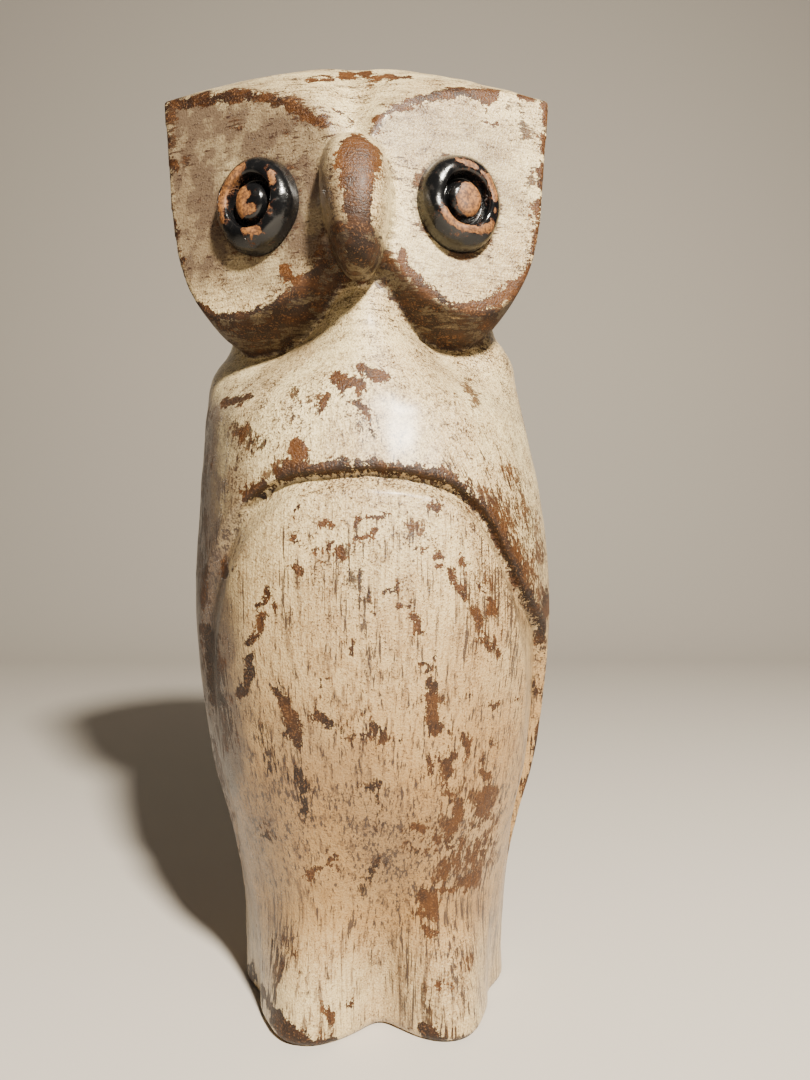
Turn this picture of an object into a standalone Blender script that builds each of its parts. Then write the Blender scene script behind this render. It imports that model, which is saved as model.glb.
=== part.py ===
"""A carved wooden owl: a tapered log with a wide flat-faced head and two turned eye knobs.

Metres, +Z up. The owl looks along -Y, and +X is on the viewer's right. The origin is on the
underside, on the axis of the log.
"""
import math

import bmesh
import bpy
from mathutils import Matrix, Vector

# The owl as a whole, in metres.
height = 0.391

# Eye knobs, in metres. Each is turned round, then rasped a little taller than wide.
eye_width = 0.0345
eye_height = 0.0370
eye_stand = 0.0092
eye_button = 0.0070
eye_groove = 0.0093
eye_crest = 0.0110
socket_depth = 0.0020
socket_clearance = 0.0003

# The free form is drawn in hundredths of the owl's height, and angles in degrees from the front,
# positive to the viewer's right.
hundredth = height / 100

# Log: radius at each height, and how far its axis leans to the viewer's left.
log_radius = ((0, 14.6), (3.6, 14.5), (12.5, 14.9), (18.1, 16.1), (24.6, 17.9), (31.6, 18.9),
              (42.1, 19.65), (53.8, 18.9), (60, 18.0), (67, 17.35))
log_lean = ((0, 0), (25.5, 0), (48.5, -0.15), (58.7, -0.7), (66, -1.3), (70, -1.4))
underside_chamfer = 0.4

# Breast: how far the front stands out of the round log at each height.
breast = ((12, 0), (25, 0.5), (40, 1.4), (50, 1.8), (56, 1.75), (62, 1.15), (66, 0.5), (69, 0))
breast_half_angle = 52

# Neck: radius above the shoulders, round the sides and back and under the beak, with a hollow under
# each eye disc: (angle, half-angle, depth, height where it starts, height where it is full).
shoulder_tilt = 1.0
neck_radius = ((67, 17.35), (68.6, 16.6), (70.2, 15.4), (71.6, 14.9), (74, 14.8), (84, 14.8))
throat_radius = ((67, 17.35), (70, 16.8), (72.5, 15.7), (75, 14.4), (84, 13.6))
throat_half_angle = 20
throat_hollows = ((-42, 25, 5.6, 60, 69.5), (-15, 16, 1.6, 60, 69), (42, 25, 5.6, 60, 69.5))
neck_top = 84

# Feet: two lobes at the front, a flute between them and a shallow waist on each side.
# Each is (angle, half-angle, depth, height where it fades out).
foot_lobes = ((-27, 17, 2.2, 15), (33, 17, 2.4, 15))
foot_flute = (5, 15, -3.2, 25)
foot_waists = ((-66, 13, -1.1, 14), (67, 13, -1.0, 14))

# Cove between the arched edge of the chest and wings and the oval belly, from the middle of the chest
# down to each wing's tip: (edge angle, edge height, belly angle, belly height).
cove_right = ((2, 55.1, 1, 53.2), (14, 54.6, 12, 52.8), (25, 53.5, 22, 51.9), (34, 51.0, 30, 49.6),
              (41, 47.6, 37, 46.0), (48, 44.4, 42, 42.5), (57, 41.8, 47, 39.0), (68, 39.3, 51, 35.5),
              (76, 34.5, 54.5, 31.5), (79.5, 27.5, 57, 26.5), (80.5, 20.5, 59, 21.0), (80, 16, 68, 16.8),
              (79.2, 12.8, 75.5, 13.2))
cove_left = ((2, 55.1, 1, 53.2), (-9, 54.8, -10, 52.8), (-20, 54.4, -19, 52.0), (-31, 52.8, -27, 50.3),
             (-42, 50.0, -34, 47.6), (-52, 46.6, -40, 44.2), (-61, 43.0, -45, 40.0), (-69, 38.0, -49, 35.5),
             (-74, 32.0, -51, 30.5), (-77, 25.0, -53, 25.5), (-78, 19.0, -56, 20.0), (-77, 15.0, -65, 15.8),
             (-76, 12.0, -72, 12.4))
cove_depth = 1.4
cove_tip_depth = 0.25
cove_wall_run = 0.14
cove_soft_run = 0.5
cove_soft_angle = -28

# Back: the wings' lower edges rise from their tips to the middle of the back, over a plain tail.
tail_cove = ((97, 12.3, 98, 11.2), (118, 17.0, 118, 14.6), (142, 24.5, 142, 21.5), (165, 31.0, 165, 27.5),
             (180, 33.0, 180, 29.5))
tail_depth = 0.8

# Head: two flat eye discs that meet in a wedge at the beak, under a domed crown. Each disc's edge runs
# from the ear, down the outer side and under the eye, to the beak: (distance from the middle, height).
face_front = 17.35
face_slope = 0.41
ear_half_width = 19.85
disc_middle_height = 81.1
disc_bottom = 70.7
disc_right = ((19.1, 83.7), (18.75, 80.2), (18.0, 76.9), (16.8, 74.3), (15.2, 72.3), (13.0, 71.2), (10.6, 71.15),
              (8.2, 71.8), (6.1, 72.95), (4.5, 74.5), (3.4, 76.4), (2.6, 78.7), (2.05, 81.1))
disc_left = ((19.05, 83.7), (18.7, 80.4), (18.0, 76.9), (16.8, 73.8), (15.0, 71.4), (13.0, 70.55), (10.9, 70.65),
             (8.6, 71.25), (6.3, 72.2), (4.5, 73.4), (3.3, 74.9), (2.6, 77.4), (2.05, 81.1))
crown_middle = 1.3
crown_fall = 0.0205
crown_front_fall = 4.7e-5
crown_side_fall = 0.0090
crown_back_round = 14.0
crown_back_narrow = 0.3
brow_valley = 4.6
brow_valley_half_width = 2.0
rim_run = 6.5
rim_swell = 2.7
rim_side_share = 0.33
lobe_gap = 0.06
head_lean = -1.55
head_back = 19.5
head_back_half_width = 17.2
head_waist_height = 84

# Beak: a rounded ridge down the wedge, narrower and a little to the viewer's right at its tip.
beak_top = 86.3
beak_tip = 73.2
beak_half_width = 3.25
beak_taper = 0.24
beak_side = 0.45
beak_tip_side = 0.3
beak_front = 22.2
beak_root = 16.0

# Where the eyes sit on the discs: name, distance from the head's middle, height.
eyes = (("left_eye", -9.15, 81.0), ("right_eye", 10.2, 81.4))

# Fineness of the faceted surfaces.
log_columns = 64
disc_steps = 21
knob_columns = 32


def curve(points, place):
    """Value at a place on a smooth curve through (place, value) points."""
    if place <= points[0][0]:
        return points[0][1]
    if place >= points[-1][0]:
        return points[-1][1]
    last = len(points) - 1
    slopes = []
    for index in range(last + 1):
        before = points[max(index - 1, 0)]
        after = points[min(index + 1, last)]
        slopes.append((after[1] - before[1]) / (after[0] - before[0]))
    for index in range(last):
        start, start_value = points[index]
        end, end_value = points[index + 1]
        if place <= end:
            span = end - start
            t = (place - start) / span
            return ((1 + 2 * t) * (1 - t) ** 2 * start_value + t * (1 - t) ** 2 * span * slopes[index]
                    + t * t * (3 - 2 * t) * end_value + t * t * (t - 1) * span * slopes[index + 1])


def station(rows, share):
    """Row of numbers at a share of the way through a table of rows, smoothly run together."""
    last = len(rows) - 1
    return [curve([(index, row[column]) for index, row in enumerate(rows)], share * last)
            for column in range(len(rows[0]))]


def bump(angle, level, lobe):
    """Height of a smooth lobe or flute that fades out upwards."""
    middle, half_angle, depth, fade = lobe
    if level >= fade:
        return 0.0
    turn = (angle - middle + 180) % 360 - 180
    return depth * math.exp(-(turn / half_angle) ** 2) * math.cos(level / fade * math.pi / 2) ** 2


def log_surface(angle, level):
    """Radius of the carved log at an angle and a height."""
    turn = (angle + 180) % 360 - 180
    place = level - shoulder_tilt * math.sin(math.radians(turn))
    radius = curve(log_radius, level) + curve(breast, level) * math.exp(-(turn / breast_half_angle) ** 4)
    if place > neck_radius[0][0]:
        throat = math.exp(-(turn / throat_half_angle) ** 2)
        radius += curve(neck_radius, place) * (1 - throat) + curve(throat_radius, place) * throat
        radius -= curve(log_radius, neck_radius[0][0])
    for middle, half_angle, depth, start, full in throat_hollows:
        radius -= depth * math.exp(-((turn - middle) / half_angle) ** 2) * ease((level - start) / (full - start))
    for lobe in (*foot_lobes, foot_flute, *foot_waists):
        radius += bump(angle, level, lobe)
    return radius


def on_log(angle, level, outward=0.0):
    """Point on the log, or a little outside or inside it."""
    radius = log_surface(angle, level) + outward
    turn = math.radians(angle)
    return Vector((curve(log_lean, level) + radius * math.sin(turn), -radius * math.cos(turn), level))


def crown_height(side, depth):
    """Height of the crown over a point of the head."""
    back = depth - crown_middle
    fall = crown_fall * back ** 2 + crown_front_fall * back ** 4 + crown_side_fall * side ** 2
    valley = brow_valley * math.exp(-(side / brow_valley_half_width) ** 2)
    return 100 - fall - valley * min(1.0, max(0.0, -depth / face_front)) ** 5


def face_depth(side):
    """Depth of the two eye discs, which slope back from the beak."""
    return -face_front + face_slope * abs(side)


def face_outline(edge):
    """One disc's half of the face's outline: (part, side, height, outward side, outward height) round
    from the middle of the crown, past the ear and under the eye, to the inner edge of the disc."""
    points = [("crown", side, 0, 0, 0) for side in (0, 0.9, 1.7, 2.5, 3.6, 5.5, 8.5, 12, 16, ear_half_width)]
    ear_level = crown_height(ear_half_width, face_depth(ear_half_width))
    for share in (0.35, 0.7):
        points.append(("side", ear_half_width + (edge[0][0] - ear_half_width) * share,
                       ear_level + (edge[0][1] - ear_level) * share, 1, 0))
    for step in range(disc_steps + 1):
        side, level = station(edge, step / disc_steps)
        before = station(edge, max(step - 0.5, 0) / disc_steps)
        after = station(edge, min(step + 0.5, disc_steps) / disc_steps)
        length = math.hypot(after[0] - before[0], after[1] - before[1])
        points.append(("disc", side, level, (before[1] - after[1]) / length, (after[0] - before[0]) / length))
    return points


def ease(share):
    """Smooth step from 0 to 1."""
    share = min(1.0, max(0.0, share))
    return share * share * (3 - 2 * share)


def ear_share(level):
    """How near a level is to the ears, from 0 at the middle of the discs."""
    return min(1.0, max(0.0, (level - disc_middle_height) / (100 - disc_middle_height)))


def round_back(point, share):
    """Point of the head's outline, drawn towards an ellipse as it nears the back."""
    side, depth, level = point
    rise = crown_height(0, depth) if level > head_waist_height else disc_bottom - rim_swell
    turn = math.atan2(side, level - head_waist_height)
    reach = math.hypot(side, level - head_waist_height)
    ellipse = 1 / math.hypot(math.sin(turn) / head_back_half_width, math.cos(turn) / (rise - head_waist_height))
    reach += (ellipse - reach) * ease((share - 0.3) / 0.55)
    return reach * math.sin(turn), depth, head_waist_height + reach * math.cos(turn)


def half_ring(edge, share):
    """One side of the head's outline at a share of the way from the face to the back."""
    outline = face_outline(edge)
    half = []
    meeting = None
    for part, side, level, outward_side, outward_level in outline:
        front = face_depth(side)
        depth = front + (head_back - front) * share
        behind = min(1.0, max(0.0, (depth - front) / rim_run))
        swell = rim_swell * (1 - (1 - behind) ** 2)
        slant = face_slope * rim_run * behind
        if part == "crown":
            side *= 1 + (swell * rim_side_share - slant) / ear_half_width
            level = crown_height(side, depth)
        else:
            side += swell * outward_side * (rim_side_share if outward_side > 0 else 1) - slant
            level += swell * outward_level
        if part != "disc":
            side *= 1 - crown_back_narrow * ease(share * 1.6) * (side / ear_half_width) ** 2 * ear_share(level)
            level -= crown_back_round * share ** 1.5 * (side / ear_half_width) ** 3 * ear_share(level)
        if part == "disc" and side < lobe_gap * (len(outline) - len(half)):
            meeting = level if meeting is None else meeting
            side = lobe_gap * (len(outline) - len(half))
            level = meeting
        if part == "disc" and outward_side < 0:
            level += (disc_bottom - swell - level) * ease((share - 0.15) / 0.45)
        half.append(round_back((side, depth, level), share))
    shrink = [math.sqrt(max(0.0, 1 - (max(depth, 0) / head_back) ** 2)) for side, depth, level in half]
    return [Vector((side * narrow, depth, head_waist_height + (level - head_waist_height) * narrow))
            for (side, depth, level), narrow in zip(half, shrink)]


def head_ring(share):
    """Outline of the head at a share of the way from the face to the back."""
    left = [Vector((-point.x, point.y, point.z)) for point in reversed(half_ring(disc_left, share)[1:])]
    return [point + Vector((head_lean, 0, 0)) for point in half_ring(disc_right, share) + left]


def loft(name, rings, caps):
    """Closed solid through rings of points, drawn in hundredths of the height."""
    mesh = bpy.data.meshes.new(name)
    shape = bmesh.new()
    rows = [[shape.verts.new(point * hundredth) for point in ring] for ring in rings]
    count = len(rows[0])
    for lower, upper in zip(rows, rows[1:]):
        for index in range(count):
            after = (index + 1) % count
            shape.faces.new((lower[index], lower[after], upper[after], upper[index]))
    for row, cap in ((rows[0], caps[0]), (rows[-1], caps[1])):
        for part in cap or [range(count)]:
            shape.faces.new([row[index % count] for index in part])
    bmesh.ops.recalc_face_normals(shape, faces=shape.faces)
    shape.to_mesh(mesh)
    shape.free()
    piece = bpy.data.objects.new(name, mesh)
    bpy.context.collection.objects.link(piece)
    return piece


def make_log():
    """The log, from its underside to the top of the neck."""
    levels = [underside_chamfer, 2, 4, 6.5, 9.5, 12.5, 15, 17.5, 20, 22.5, 25.5, 29, 33, 37, 41, 45, 49,
              52.5, 56, 59.5, 62.5, 65, 66.5, 67.7, 68.8, 70, 71.3, 73, 76, neck_top]
    turns = [360 * column / log_columns for column in range(log_columns)]
    rings = [[on_log(turn, 0, -underside_chamfer) for turn in turns]]
    rings += [[on_log(turn, level) for turn in turns] for level in levels]
    return loft("log", rings, (None, None))


def make_head():
    """Head block with its two flat eye discs and domed crown."""
    rings = [head_ring(share) for share in (0, 0.02, 0.06, 0.12, 0.2, 0.3, 0.44, 0.57, 0.68, 0.78, 0.86, 0.92,
                                            0.96, 0.985, 0.996, 0.9995)]
    count = len(rings[0])
    half = count // 2
    right = list(range(0, half + 1))
    left = list(range(half + 1, count)) + [0]
    middle = [0, half, half + 1]
    return loft("head", rings, ([right, left, middle], None))


def make_beak():
    """Beak: a sphere drawn out into a long rounded ridge."""
    mesh = bpy.data.meshes.new("beak")
    shape = bmesh.new()
    bmesh.ops.create_uvsphere(shape, u_segments=24, v_segments=14, radius=1)
    for corner in shape.verts:
        x, y, z = corner.co
        rise = math.copysign(abs(z) ** 0.85, z)
        round_off = max(0.0, 1 - rise * rise) ** 0.36
        flat = math.hypot(x, y) or 1.0
        across = math.copysign(abs(x / flat) ** 0.75, x)
        forward = math.copysign(abs(y / flat) ** 0.75, y)
        width = beak_half_width * (1 + beak_taper * rise) * round_off
        reach = beak_front - beak_root
        front = reach * (1 - 0.10 * rise) * round_off
        corner.co = Vector((head_lean + beak_side - beak_tip_side * rise + width * across,
                            -beak_root + (front if y < 0 else reach * 0.5 * round_off) * forward,
                            (beak_top + beak_tip) / 2 + (beak_top - beak_tip) / 2 * rise)) * hundredth
    shape.to_mesh(mesh)
    shape.free()
    piece = bpy.data.objects.new("beak", mesh)
    bpy.context.collection.objects.link(piece)
    return piece


def cove_cutter(name, stations):
    """Cutter that carves a cove between an overhanging edge and the panel that it frames."""
    rings = []
    for (angle, level, panel_angle, panel_level), depth, run in stations:
        def between(share, outward):
            return on_log(angle + (panel_angle - angle) * share, level + (panel_level - level) * share, outward)
        floor = (1 + run) / 2
        floor_depth = 0.6 * depth
        wall_over = min(0.2, run / depth)
        floor_over = min(0.35, (1 - floor) / floor_depth)
        rings.append([between(-wall_over, wall_over * depth / run), between(run, -depth),
                      between(floor, -floor_depth), between(1 + floor_over, floor_over * floor_depth / (1 - floor)),
                      between(0.5, 1.5)])
    return loft(name, rings, (None, None))


def make_belly_cove():
    """Cutter for the cove round the belly, from the left wing's tip over the arch to the right one's."""
    stations = []
    for step in range(-24, 25):
        way = abs(step) / 24
        row = station(cove_right if step >= 0 else cove_left, way)
        depth = cove_tip_depth + (cove_depth - cove_tip_depth) * math.cos(way ** 3 * math.pi / 2)
        soft = min(1.0, max(0.0, (cove_soft_angle - row[0]) / 25))
        stations.append((row, depth, cove_wall_run + (cove_soft_run - cove_wall_run) * soft))
    return cove_cutter("belly_cove", stations)


def make_tail_cove():
    """Cutter for the cove under the wings' edges across the back."""
    stations = []
    for step in range(-12, 13):
        row = station(tail_cove, 1 - abs(step) / 12)
        if step > 0:
            row = [360 - row[0], row[1], 360 - row[2], row[3]]
        depth = cove_tip_depth + (tail_depth - cove_tip_depth) * math.cos(abs(step) / 12 * math.pi / 2)
        stations.append((row, depth, cove_wall_run))
    return cove_cutter("tail_cove", stations)


def eye_placement(side, level):
    """Where a knob's middle meets its disc, and the turn that faces it outwards."""
    disc_turn = math.atan(face_slope) * math.copysign(1, side)
    middle = Vector((head_lean + side, face_depth(side), level)) * hundredth
    return Matrix.Translation(middle) @ Matrix.Rotation(disc_turn, 4, "Z") @ Matrix.Rotation(math.pi / 2, 4, "X")


def make_socket(name, side, level):
    """Cutter for the shallow round socket that a knob sits in."""
    mesh = bpy.data.meshes.new(name)
    shape = bmesh.new()
    bmesh.ops.create_cone(shape, cap_ends=True, segments=knob_columns, radius1=0.5, radius2=0.5,
                          depth=2 * socket_depth)
    bmesh.ops.transform(shape, verts=shape.verts, matrix=eye_placement(side, level) @ Matrix.Diagonal(
        (eye_width + 2 * socket_clearance, eye_height + 2 * socket_clearance, 1, 1)))
    shape.to_mesh(mesh)
    shape.free()
    piece = bpy.data.objects.new(name, mesh)
    bpy.context.collection.objects.link(piece)
    return piece


def make_eye(name, side, level):
    """Turned knob: a round button in a groove, inside a broad rounded ring."""
    rim = eye_width / 2
    flank = rim - eye_crest
    outline = [(0, eye_stand - 0.0004), (0.5 * eye_button, eye_stand - 0.0005),
               (0.8 * eye_button, eye_stand - 0.0012), (0.95 * eye_button, eye_stand - 0.0026),
               (eye_button + 0.0004, eye_stand - 0.0050),
               (eye_groove - 0.0009, eye_stand - 0.0051), (eye_groove, eye_stand - 0.0021),
               (eye_groove + 0.0006, eye_stand - 0.0006), (eye_crest, eye_stand),
               (eye_crest + 0.3 * flank, eye_stand - 0.0005), (eye_crest + 0.6 * flank, eye_stand - 0.0020),
               (eye_crest + 0.85 * flank, eye_stand - 0.0046), (rim - 0.0002, eye_stand - 0.0072), (rim, 0.0),
               (rim, socket_clearance - socket_depth), (0, socket_clearance - socket_depth)]
    mesh = bpy.data.meshes.new(name)
    shape = bmesh.new()
    corners = [shape.verts.new((reach, 0, stand)) for reach, stand in outline]
    for start, end in zip(corners, corners[1:]):
        shape.edges.new((start, end))
    shape.to_mesh(mesh)
    shape.free()
    piece = bpy.data.objects.new(name, mesh)
    bpy.context.collection.objects.link(piece)
    turning = piece.modifiers.new("Turning", "SCREW")
    turning.axis = "Z"
    turning.steps = turning.render_steps = knob_columns
    turning.use_merge_vertices = True
    turning.merge_threshold = 0.0001
    piece.matrix_world = eye_placement(side, level) @ Matrix.Diagonal((1, eye_height / eye_width, 1, 1))
    return piece


def paint(piece, name, colour, roughness):
    """Give a piece its own material."""
    material = bpy.data.materials.new(name)
    material.use_nodes = True
    shader = material.node_tree.nodes["Principled BSDF"]
    shader.inputs["Base Color"].default_value = (*colour, 1)
    shader.inputs["Roughness"].default_value = roughness
    shader.inputs["Metallic"].default_value = 0
    piece.data.materials.append(material)


def smooth_round_faces(piece, widest=math.radians(30)):
    """Shade a piece smooth, with its crisp edges kept."""
    piece.data.shade_smooth()
    piece.data.set_sharp_from_angle(angle=widest)


def main():
    for piece in list(bpy.data.objects):
        bpy.data.objects.remove(piece, do_unlink=True)
    collection = bpy.data.collections.new("carved wooden owl")
    tools = bpy.data.collections.new("carving")
    for group in (collection, tools):
        bpy.context.scene.collection.children.link(group)

    def keep(piece, group):
        for holder in list(piece.users_collection):
            holder.objects.unlink(piece)
        group.objects.link(piece)
        return piece

    owl = keep(make_log(), collection)
    owl.name = "owl"
    steps = [(make_head(), "UNION"), (make_beak(), "UNION"), (make_belly_cove(), "DIFFERENCE"),
             (make_tail_cove(), "DIFFERENCE")]
    steps += [(make_socket(name + "_socket", side, level), "DIFFERENCE") for name, side, level in eyes]
    for tool, operation in steps:
        keep(tool, tools)
        tool.hide_render = True
        tool.display_type = "WIRE"
        cut = owl.modifiers.new(tool.name, "BOOLEAN")
        cut.operation = operation
        cut.solver = "EXACT"
        cut.object = tool
    paint(owl, "rubbed cream paint", (0.62, 0.54, 0.38), 0.5)
    smooth_round_faces(owl)
    for name, side, level in eyes:
        eye = keep(make_eye(name, side, level), collection)
        paint(eye, name + " black gloss", (0.012, 0.012, 0.013), 0.25)
        smooth_round_faces(eye)


main()
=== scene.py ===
"""A carved wooden owl in rubbed cream paint, with two turned eye knobs in chipped black gloss.

Metres, +Z up. The owl looks along -Y, and +X is on the viewer's right. Left and right are the viewer's.
"""
import math

import bmesh
import bpy
import numpy as np
from mathutils import Matrix, Vector, kdtree


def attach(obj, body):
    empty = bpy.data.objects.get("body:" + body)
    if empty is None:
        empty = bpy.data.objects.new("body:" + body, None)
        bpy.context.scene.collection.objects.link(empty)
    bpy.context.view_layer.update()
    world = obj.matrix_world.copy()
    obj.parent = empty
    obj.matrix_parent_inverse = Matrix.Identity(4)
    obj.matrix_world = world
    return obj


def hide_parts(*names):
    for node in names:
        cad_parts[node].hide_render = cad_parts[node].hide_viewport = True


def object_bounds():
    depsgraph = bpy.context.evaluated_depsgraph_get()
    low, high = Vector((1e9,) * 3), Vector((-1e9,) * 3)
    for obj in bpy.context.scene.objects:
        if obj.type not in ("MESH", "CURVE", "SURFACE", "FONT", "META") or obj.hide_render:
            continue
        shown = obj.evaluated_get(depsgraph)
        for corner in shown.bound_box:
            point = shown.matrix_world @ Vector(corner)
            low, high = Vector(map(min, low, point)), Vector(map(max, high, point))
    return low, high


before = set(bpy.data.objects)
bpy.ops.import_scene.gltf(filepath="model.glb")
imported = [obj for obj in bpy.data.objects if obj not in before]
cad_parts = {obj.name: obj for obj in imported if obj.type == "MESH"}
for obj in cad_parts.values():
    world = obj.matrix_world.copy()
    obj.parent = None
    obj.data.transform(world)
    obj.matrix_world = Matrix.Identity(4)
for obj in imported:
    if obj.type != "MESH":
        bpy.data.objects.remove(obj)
solid_box = [list(corner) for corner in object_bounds()]

# The owl's height in metres. Its free form is drawn in hundredths of that.
height = 0.391
hundredth = height / 100

# Where the photograph was taken from: the camera's place, the picture's height, how far one unit of slope
# reaches in it, and its point that lies level ahead.
camera_place = Vector((0.0135, -0.362, 0.191))
picture_height = 1080
picture_reach = 811
picture_middle = (405, 538)

# The log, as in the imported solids: height and radius, height and sideways lean, height and the breast's
# swell. Angles are in degrees, 0 in front and 90 on the right.
log_radius = ((0, 14.6), (3.6, 14.5), (12.5, 14.9), (18.1, 16.1), (24.6, 17.9), (31.6, 18.9),
              (42.1, 19.65), (53.8, 18.9), (60, 18), (67, 17.35))
log_lean = ((0, 0), (25.5, 0), (48.5, -0.15), (58.7, -0.7), (66, -1.3), (70, -1.4))
breast = ((12, 0), (25, 0.5), (40, 1.4), (50, 1.8), (56, 1.75), (62, 1.15), (66, 0.5), (69, 0))
breast_half_angle = 52
# How far the shoulders tilt, and the neck's height and radius all round and at the throat. For a hollow:
# middle and half angle, depth, and the heights where it starts and is full.
shoulder_tilt = 1
neck_radius = ((67, 17.35), (68.6, 16.6), (70.2, 15.4), (71.6, 14.9), (74, 14.8), (84, 14.8))
throat_radius = ((67, 17.35), (70, 16.8), (72.5, 15.7), (75, 14.4), (84, 13.6))
throat_half_angle = 20
throat_hollows = ((-42, 25, 5.6, 60, 69.5), (-15, 16, 1.6, 60, 69), (42, 25, 5.6, 60, 69.5))
# For a lobe of the foot, or a flute: middle and half angle, depth, and the height where it ends.
foot_lobes = ((-27, 17, 2.2, 15), (33, 17, 2.4, 15), (5, 15, -3.2, 25), (-66, 13, -1.1, 14), (67, 13, -1, 14))

# Edge of the chest and wings, and edge of the belly inside it: (angle, height, angle, height).
cove_right = ((2, 55.1, 1, 53.2), (14, 54.6, 12, 52.8), (25, 53.5, 22, 51.9), (34, 51, 30, 49.6),
              (41, 47.6, 37, 46), (48, 44.4, 42, 42.5), (57, 41.8, 47, 39), (68, 39.3, 51, 35.5),
              (76, 34.5, 54.5, 31.5), (79.5, 27.5, 57, 26.5), (80.5, 20.5, 59, 21), (80, 16, 68, 16.8),
              (79.2, 12.8, 75.5, 13.2))
cove_left = ((2, 55.1, 1, 53.2), (-9, 54.8, -10, 52.8), (-20, 54.4, -19, 52), (-31, 52.8, -27, 50.3),
             (-42, 50, -34, 47.6), (-52, 46.6, -40, 44.2), (-61, 43, -45, 40), (-69, 38, -49, 35.5),
             (-74, 32, -51, 30.5), (-77, 25, -53, 25.5), (-78, 19, -56, 20), (-77, 15, -65, 15.8),
             (-76, 12, -72, 12.4))
cove_depth = 1.4
cove_tip_depth = 0.25
tail_cove = ((97, 12.3, 98, 11.2), (118, 17, 118, 14.6), (142, 24.5, 142, 21.5), (165, 31, 165, 27.5),
             (180, 33, 180, 29.5))
tail_depth = 0.8

# Where the discs meet, their slope and lean. Then the knobs: their size in metres, how far out the seat of
# one goes, in its own radii, and where the middle of each is on its disc.
face_front = 17.35
face_slope = 0.41
head_lean = -1.55
eye_width = 0.0345
eye_height = 0.037
eye_stand = 0.0092
seat_edge = 1.12
eyes = (("left_eye", -9.15, 81), ("right_eye", 10.2, 81.4))

# The skin's mesh in metres, and the height where the head takes over from the log, and how gently.
skin_cell = 0.00138
head_start = 58
head_blend = 5


# Shader sums

class Reading:
    """A number or colour that varies over a surface. Sums on numbers become Math nodes."""

    def __init__(self, tree, socket):
        self.tree = tree
        self.socket = socket

    def __add__(self, other):
        return maths("ADD", self, other)

    def __radd__(self, other):
        return maths("ADD", other, self)

    def __sub__(self, other):
        return maths("SUBTRACT", self, other)

    def __rsub__(self, other):
        return maths("SUBTRACT", other, self)

    def __mul__(self, other):
        return maths("MULTIPLY", self, other)

    def __rmul__(self, other):
        return maths("MULTIPLY", other, self)


def feed(tree, socket, value):
    """Feeds a socket with a reading or with a plain value."""
    if isinstance(value, Reading):
        tree.links.new(value.socket, socket)
    else:
        socket.default_value = value


def maths(operation, *terms):
    """A reading worked out from readings and plain numbers."""
    tree = next(term.tree for term in terms if isinstance(term, Reading))
    node = tree.nodes.new("ShaderNodeMath")
    node.operation = operation
    for place, term in zip(node.inputs, terms):
        feed(tree, place, term)
    return Reading(tree, node.outputs[0])


class Finish:
    """A surface finish: a material, its shader and the nodes behind it."""

    # Noise keeps close to 0.5. This spreads it from about -2 to 2.
    noise_spread = 15

    def __init__(self, name):
        self.material = bpy.data.materials.new(name)
        self.material.use_nodes = True
        self.tree = self.material.node_tree
        self.shader = self.tree.nodes["Principled BSDF"]
        self.places = self.node("ShaderNodeTexCoord", output="Object")

    def node(self, kind, settings=(), inputs=(), output=0):
        """Output of a new node, with its settings made first and then its inputs."""
        node = self.tree.nodes.new(kind)
        for name, value in dict(settings).items():
            setattr(node, name, value)
        for name, value in dict(inputs).items():
            feed(self.tree, node.inputs[name], value)
        return Reading(self.tree, node.outputs[output])

    def painted(self, name):
        """A number kept on the piece's points under that name."""
        return self.node("ShaderNodeAttribute", {"attribute_name": name}, output="Fac")

    def noise(self, scale, detail, roughness, stretch=(1, 1, 1), shift=0.0, distortion=0.0, turn=0.0):
        """Cloudy noise, drawn out along an axis by a small number in stretch. Shifts keep noises apart."""
        places = self.places
        if turn:
            places = self.node("ShaderNodeMapping", inputs={"Vector": places, "Rotation": (0, turn, 0)})
        placed = self.node("ShaderNodeMapping", inputs={
            "Vector": places, "Location": (shift, shift * 0.7, shift * 1.3), "Scale": stretch})
        raw = self.node("ShaderNodeTexNoise", inputs={
            "Vector": placed, "Scale": scale, "Detail": detail, "Roughness": roughness,
            "Distortion": distortion})
        return (raw - 0.5) * self.noise_spread

    def step(self, value, low, high):
        """Smooth step from 0 to 1 as a value runs from low to high."""
        return self.node("ShaderNodeMapRange", {"interpolation_type": "SMOOTHSTEP"}, {
            "Value": value, "From Min": low, "From Max": high})

    def mix(self, share, first, second):
        """Colour between two colours."""
        return self.node("ShaderNodeMix", {"data_type": "RGBA"}, {0: share, 6: first, 7: second}, 2)

    def flakes(self, scale):
        """A number from 0 to 1 for each small cell of the surface."""
        cells = {"Vector": self.places, "Scale": scale}
        return self.node("ShaderNodeTexVoronoi", inputs=cells, output="Color")

    def bump(self, relief, depth):
        """Normal of a surface with relief of that depth in metres."""
        return self.node("ShaderNodeBump", inputs={"Height": relief, "Distance": depth, "Strength": 1.0})

    def wear(self, **sockets):
        """Feeds the shader's own sockets."""
        for name, value in sockets.items():
            feed(self.tree, self.shader.inputs[name.replace("_", " ")], value)
        return self.material


def colour(red, green, blue):
    """Colour from its screen values of 0 to 255."""
    def linear(value):
        value /= 255
        return value / 12.92 if value <= 0.04045 else ((value + 0.055) / 1.055) ** 2.4
    return (linear(red), linear(green), linear(blue), 1.0)


# Smooth curves and steps on many points at once

def ease(share):
    """Smooth step from 0 to 1."""
    share = np.clip(share, 0, 1)
    return share * share * (3 - 2 * share)


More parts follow.
